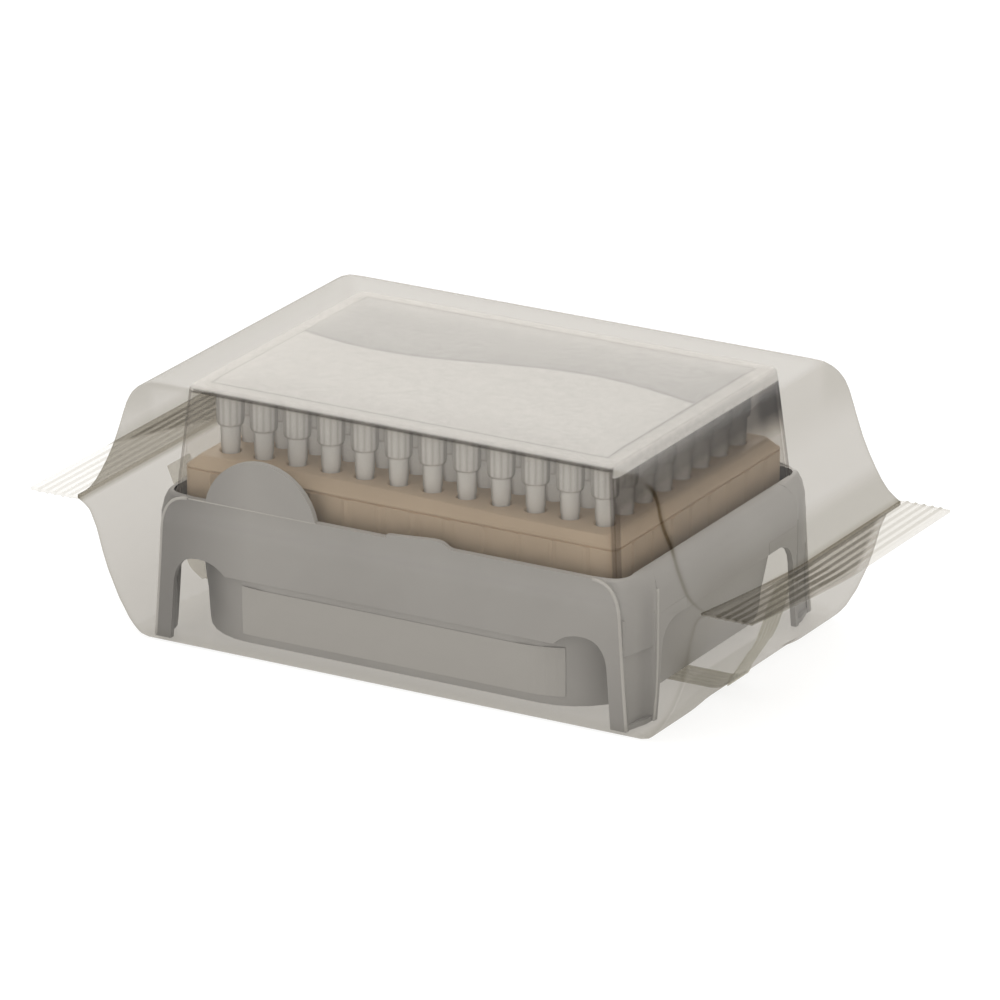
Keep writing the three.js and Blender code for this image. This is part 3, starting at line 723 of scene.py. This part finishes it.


# the "turn" mark also carries the painted shade over the right wall
tint_by_mark(lid_finish, lid_parts, "turn",
             [(0.0, (0.96, 0.955, 0.945)), (0.4, (0.70, 0.68, 0.66)), (1.0, (0.16, 0.15, 0.15))],
             [(0.0, (0.66, 0.65, 0.63)), (1.0, (0.3, 0.3, 0.3))])
frost_the_top(lid_finish, lid_parts)
make_piece("lid_shell", lid_points, lid_faces, lid_finish, ["lid"],
           marks={"turn": lid_marks(lid_grid)})

# %% [markdown]
# ## Film wrap
# Thin film goes once round the box and is welded flat at each end. Its shape from the front is one
# outline: flat over the top, round the shoulder, then flaring out to the weld. The outline is carried
# from the front panel to the back one, and shrinks to a line in each panel to close it.

# %% film outline
weld_z, film_front, weld_reach = 31.5, 45.6, 46.2
film_top = np.array([(60, 63.2), (62.2, 63.15), (64, 63.0), (66, 62.3), (67.6, 61.3), (69.2, 59.7),
                     (70.4, 57.4), (71.4, 54.6), (72.5, 51.2), (74.2, 46.4), (75.9, 42.6), (77.7, 39.2),
                     (79.3, 36.5), (81.0, 34.3), (82.8, 32.8), (84.3, 31.85)])
film_under = np.array([(84.3, 31.15), (82.6, 30.2), (81.0, 28.8), (79.2, 24.6), (77.6, 18.9), (76.2, 14.8),
                       (74.6, 11.2), (73.2, 8.1), (71.9, 6.0), (70.6, 3.8), (69.2, 2.1), (67.5, 0.5),
                       (65.4, 0.0), (62.5, 0.0)])
pull_height = (31.5, 33.4, 36.0, 42.0, 47.5, 51.6, 55.0, 61.5)
pull_amount = (0.3, 0.5, 1.2, 0.9, 0.5, 1.2, 1.2, 0.0)


def even_steps(path, count):
    """The same path with points at even distances along it."""
    run = np.concatenate([[0.0], np.cumsum(np.linalg.norm(np.diff(path, axis=0), axis=1))])
    steps = np.linspace(0.0, run[-1], count)
    return np.column_stack([np.interp(steps, run, path[:, k]) for k in range(2)])


right_end = np.concatenate([even_steps(film_top, 44), even_steps(film_under, 44)])
top_run = np.column_stack([np.linspace(-60, 60, 42)[1:-1], np.full(40, 63.2)])
under_run = np.column_stack([np.linspace(62.5, -62.5, 42)[1:-1], np.zeros(40)])
left_end = right_end[::-1] * [-1, 1]
film_loop = np.concatenate([top_run, right_end, under_run, left_end])
print("film outline has", len(film_loop), "points")


# %% film skin
def lifted(grid):
    """Raise the middle of the underside: 1.5 mm between Y = -15 and 15, fading out by |Y| = 27."""
    under = np.clip((27.0 - np.abs(grid[..., 1])) / 12.0, 0.0, 1.0)
    lift = 1.5 * under * under * (3 - 2 * under)
    near_bottom = np.clip((6.0 - grid[..., 2]) / 6.0, 0.0, 1.0)
    grid[..., 2] += lift * near_bottom * (np.abs(grid[..., 0]) < 70)
    return grid


def skewed(grid):
    """The right weld runs a little askew: its front end sits 2.6 mm further in and 2 mm higher."""
    forward = np.clip((-grid[..., 1] - 2.0) / 44.0, 0.0, 1.0) ** 1.3
    reach = np.clip((grid[..., 0] - 72.0) / 11.0, 0.0, 1.0)
    near_root = np.clip(1.0 - np.abs(grid[..., 2] - weld_z) / 22.0, 0.0, 1.0)
    grid[..., 0] -= 2.6 * forward * reach * near_root
    grid[..., 2] += 2.0 * forward * reach * near_root
    return grid


def film_grid():
    """Rows across the box: a shrinking outline in the front panel, the sweep, and the back panel. The
    right end is drawn in a little where it meets the front panel. Also how near each row is to an edge."""
    loop_x, loop_z = film_loop.T
    core = np.column_stack([np.clip(loop_x, -62, 62), np.full(len(film_loop), weld_z)])
    pull = np.interp(loop_z, pull_height, pull_amount) * (loop_x > 66) * (loop_z > weld_z)
    pull *= np.clip((84.3 - loop_x) / 1.5, 0.0, 1.0)
    shrink = np.array([0.0, 0.12, 0.25, 0.4, 0.55, 0.7, 0.82, 0.9, 0.95, 0.975])
    turn = np.linspace(0.0, 0.5 * math.pi, 5)
    rows = [(s, film_front) for s in shrink]
    rows += [(0.975 + 0.025 * math.sin(a), 44.6 + math.cos(a)) for a in turn[1:]]
    sweep = [(1.0, y) for y in np.linspace(43.6, -43.6, 44)]
    rows = rows + sweep + [(s, -y) for s, y in rows[::-1]]
    grid = np.empty((len(rows), len(film_loop), 3))
    edge = np.array([math.exp(-((1 - s) / 0.035) ** 2 - ((film_front - abs(y)) / 0.9) ** 2)
                     for s, y in rows])
    for i, (s, y) in enumerate(rows):
        outline = core + s * (film_loop - core)
        near_front = np.clip((-34.0 - y) / 11.0, 0.0, 1.0) ** 2
        grid[i, :, 0], grid[i, :, 1] = outline[:, 0] - s * near_front * pull, y
        grid[i, :, 2] = outline[:, 1]
    return skewed(lifted(grid)) / 1000.0, edge


def fold_and_shade_marks(grid, edge):
    """0 on plain film, 1 on the doubled film at the front right edge, darker over the lower right end. The
    shoulders carry painted shade; the flare above each weld, up to about 0.4, is film seen at a slant and
    partly the weld's painted shadow on the base.
    """
    x, y, z = grid[..., 0] * 1000, grid[..., 1] * 1000, grid[..., 2] * 1000
    out = np.abs(x)
    on_edge = edge[:, None]
    marks = 0.20 * on_edge * (z > 1.0)
    doubled = np.interp(z, (30.0, 34.0, 36.0, 45.0, 48.5, 60.5, 61.8),
                        (0.25, 0.35, 0.5, 0.6, 1.0, 1.0, 0.3))
    marks = np.maximum(marks, doubled * on_edge * (x > 66.5) * (y < 0))
    # painted shade on the shoulders; over the flare, film seen at a slant and partly the weld's painted
    # shadow
    marks = np.maximum(marks, 0.14 * np.clip((z - 50) / 8, 0, 1) * np.clip((out - 62) / 2.5, 0, 1))
    flare = np.where(x > 0, 0.30 - 0.14 * np.clip((-20 - y) / 15, 0, 1), 0.44) * (np.abs(y) < 45.5)
    marks = np.maximum(marks, flare * np.clip((out - np.where(x > 0, 77.0, 72.5)) / 2.0, 0, 1) * (z > weld_z))
    marks = np.maximum(marks, 0.20 * ((x > 64) & (z < 15) & (y < -10) & (y > -44)))
    marks = np.maximum(marks, 0.10 * (z < 1.7))
    return np.maximum(marks, 0.6 * np.clip((out - 82.8) / 0.9, 0, 1))


film_finish, film_parts = see_through("packing_film", (0.742, 0.726, 0.702), (0.62, 0.60, 0.58), 0.2,
                                      0.01, 0.12)
tint_by_mark(film_finish, film_parts, "fold_and_shade",
             [(0.0, (0.742, 0.726, 0.702)), (0.35, (0.60, 0.585, 0.545)), (1.0, (0.20, 0.15, 0.07))],
             [(0.0, (0.62, 0.60, 0.58)), (1.0, (0.25, 0.22, 0.17))])
skin, skin_edge = film_grid()
skin_points, skin_faces = capped_grid(skin)
make_piece("film_skin", skin_points, skin_faces, film_finish, ["film_wrap"],
           marks={"fold_and_shade": fold_and_shade_marks(skin, skin_edge)})

# %% [markdown]
# ## End welds
# At each end the film is pressed flat between ribbed jaws. The weld is a thin strip whose cross-section
# is a shallow wave, five ridges from root to edge, carried along the whole width of the pack. The
# ridges look like dark stripes: strong where the weld lies over the box, and faint towards its edge.

# %% end welds
ridge_pitch = 2.15


def ridge_wave(x):
    """sin(2 pi (x - 85) / pitch), and whether x is in the ridged part of the weld."""
    return np.sin((x - 85.0) / ridge_pitch * 2 * math.pi), (x > 85.0) & (x < 95.8)


def weld_grid(side):
    """A thin closed strip: x runs from root to edge and back under; each ridge is half a sine wave."""
    x = np.linspace(83.6, 96.6, 150)
    swing, ridged = ridge_wave(x)
    wave = 0.25 * np.maximum(swing, 0) * ridged
    upper = np.column_stack([x, weld_z + 0.3 + wave])
    lower = np.column_stack([x, weld_z - 0.3 - wave])[::-1]
    loop = np.concatenate([upper, lower])
    y = np.linspace(weld_reach, -weld_reach, 120)
    grid = np.empty((len(y), len(loop), 3))
    grid[..., 0], grid[..., 1], grid[..., 2] = side * loop[None, :, 0], y[:, None], loop[None, :, 1]
    return skewed(grid) / 1000.0


def stripe_marks(grid, side):
    """Stripes along the ridges of the upper face: strong on one side of a slanting line across the
    weld, faint past it. The lower face is plain."""
    x, y = np.abs(grid[..., 0]) * 1000, grid[..., 1] * 1000
    swing, ridged = ridge_wave(x)
    ridge = np.clip(0.5 + 1.3 * swing, 0, 1) * ridged
    slant = 35.0 - (x - 83.9) * 2.83 - y if side > 0 else y + 11.6 - (96.5 - x) * 2.2
    strong = np.clip(slant / 3.0 + 0.5, 0, 1)
    pressed = np.exp(-((y + (8.0 if side > 0 else 14.0)) / 5.5) ** 6)
    inside = 0.42 + 0.48 * ridge + 0.40 * pressed * ridge
    inside = inside + (side > 0) * 0.26 * np.clip((-y - 16.0) / 14.0, 0, 1)
    marks = strong * inside + (1 - strong) * ((0.22 if side > 0 else 0.05) + 0.17 * ridge)
    marks[:, marks.shape[1] // 2:] = 0.12
    return marks


weld_finish, weld_parts = see_through("welded_film", (0.97, 0.965, 0.955), (0.66, 0.64, 0.61), 0.35,
                                      0.02, 0.12)
tint_by_mark(weld_finish, weld_parts, "stripe",
             [(0.0, (0.98, 0.975, 0.968)), (0.35, (0.72, 0.70, 0.66)), (1.0, (0.30, 0.28, 0.24))],
             [(0.0, (0.86, 0.85, 0.83)), (1.0, (0.35, 0.33, 0.29))])
for side, end in ((1, "right"), (-1, "left")):
    strip = weld_grid(side)
    weld_points, weld_faces = capped_grid(strip)
    if side < 0:
        weld_faces = [f[::-1] for f in weld_faces]
    make_piece(f"film_weld_{end}", weld_points, weld_faces, weld_finish,
               marks={"stripe": stripe_marks(strip, side)})

# %% [markdown]
# ## Long seam
# The two long edges of the film meet under the box in one flat seam. It runs from weld to weld: down
# one end panel, along the underside, and up the other end. It is a thin band with fine lines.

# %% long seam
def seam_grid():
    """Rows along the lower outline, moved out by 0.15 to 0.3 mm; each row is a flat closed ring."""
    half = film_under[2:]
    path = np.concatenate([even_steps(half, 60), under_run, even_steps(half, 60)[::-1] * [-1, 1]])
    run = np.gradient(path, axis=0)
    out = np.column_stack([run[:, 1], -run[:, 0]]) / np.linalg.norm(run, axis=1)[:, None]
    out *= np.sign((out * (path - [0.0, weld_z])).sum(axis=1))[:, None]
    middle = -6.6 - 3.4 * np.exp(-((path[:, 1] - 7.0) / 4.0) ** 2) + 1.0 * (path[:, 1] > 12)
    reach = np.linspace(-5.0, 5.0, 21)
    across = np.concatenate([reach, reach[::-1]])
    away = np.concatenate([np.full(21, 0.30), np.full(21, 0.15)])
    grid = np.empty((len(path), 42, 3))
    grid[..., 1] = middle[:, None] + across[None]
    grid[..., 0] = path[:, :1] + out[:, :1] * away[None]
    grid[..., 2] = path[:, 1:] + out[:, 1:] * away[None]
    lines = 0.55 + 0.45 * (np.minimum(np.arange(42), 41 - np.arange(42)) // 2 % 2)
    return lifted(grid) / 1000.0, lines[None] * np.where(path[:, 0] > 0, 1.0, 0.12)[:, None]


seam, seam_lines = seam_grid()
seam_points, seam_faces = capped_grid(seam)
seam_finish, seam_parts = see_through("seam_film", (0.70, 0.685, 0.63), (0.55, 0.54, 0.49), 0.35,
                                      0.05, 0.2)
tint_by_mark(seam_finish, seam_parts, "line", [(0.0, (0.93, 0.92, 0.89)), (1.0, (0.76, 0.745, 0.69))],
             [(0.0, (0.72, 0.71, 0.68)), (1.0, (0.52, 0.51, 0.46))])
make_piece("film_seam", seam_points, seam_faces, seam_finish, marks={"line": seam_lines})

# %% [markdown]
# ## Blank label
# A bare rectangle of clear sticker lies across the front of the tub and bends round its wide
# corners: past the start of a corner, y = r - sqrt(r^2 - over^2) further back.

# %% blank label
label_x, label_z = np.meshgrid(np.linspace(-39.6, 45.0, 40) + box_x, np.linspace(4.9, 16.8, 8))
tub_levels = (4.2, 10.5, 20.4)
corner_start = np.interp(label_z, tub_levels, (36.2, 33.5, 32.1))
corner_radius = np.interp(label_z, tub_levels, (22.0, 27.0, 32.0))
past = np.maximum(np.abs(label_x - box_x) - corner_start, 0.0)
sweep_back = corner_radius - np.sqrt(corner_radius ** 2 - past ** 2)
label_y = sweep_back - np.interp(label_z, tub_levels, (43.2, 43.9, 44.3)) - 0.14
label_front = np.stack([label_x, label_y, label_z], axis=-1)
label_grid = np.concatenate([label_front, (label_front + [0, 0.06, 0])[::-1]]) / 1000.0
label_finish, label_shader = plain_material("blank_label", (0.535, 0.525, 0.508), 0.35, 0.45)
fine_grain(label_finish.node_tree, label_shader, 2600.0, 0.15)
make_piece("label", label_grid.reshape(-1, 3), faces_of_grid(len(label_grid), 40, False), label_finish,
           smooth=False)
